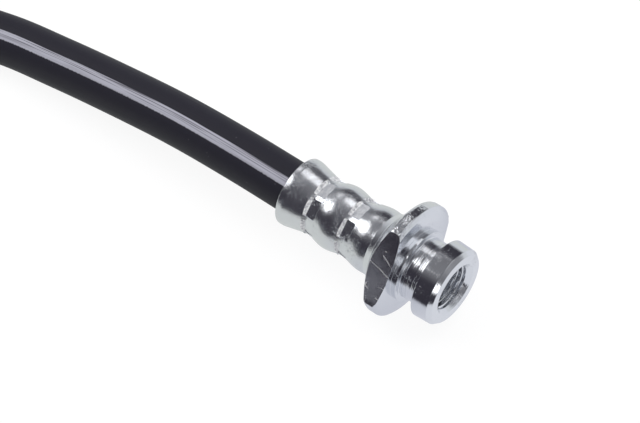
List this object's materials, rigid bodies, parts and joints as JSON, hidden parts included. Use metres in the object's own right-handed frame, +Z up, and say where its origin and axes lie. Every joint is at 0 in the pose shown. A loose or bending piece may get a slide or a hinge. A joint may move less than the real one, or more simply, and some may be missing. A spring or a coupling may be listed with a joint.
{
  "type": "brake hose",
  "caption": "Rubber vehicle brake hose with a pale stripe and crimped zinc-plated female end fittings, each with a round flange with flats, a clip groove and a threaded mouth.",
  "frame": {"origin": "on the surface that the hose lies on, below the middle of the near fitting", "axes": "+X along the near fitting's axis, out of its threaded mouth; +Z up; the hose leaves towards -X and turns back on the -Y side"},
  "size_m": [0.17, 0.1466, 0.0238],
  "materials": {
    "zinc_plated_steel": "bright zinc plating, fine turning lines",
    "hose_rubber": "satin, with a pale grey printed stripe"
  },
  "bodies": {
    "root": {"near_end_fitting": "zinc_plated_steel", "hose": "hose_rubber", "far_end_fitting": "zinc_plated_steel"}
  },
  "joints": []
}
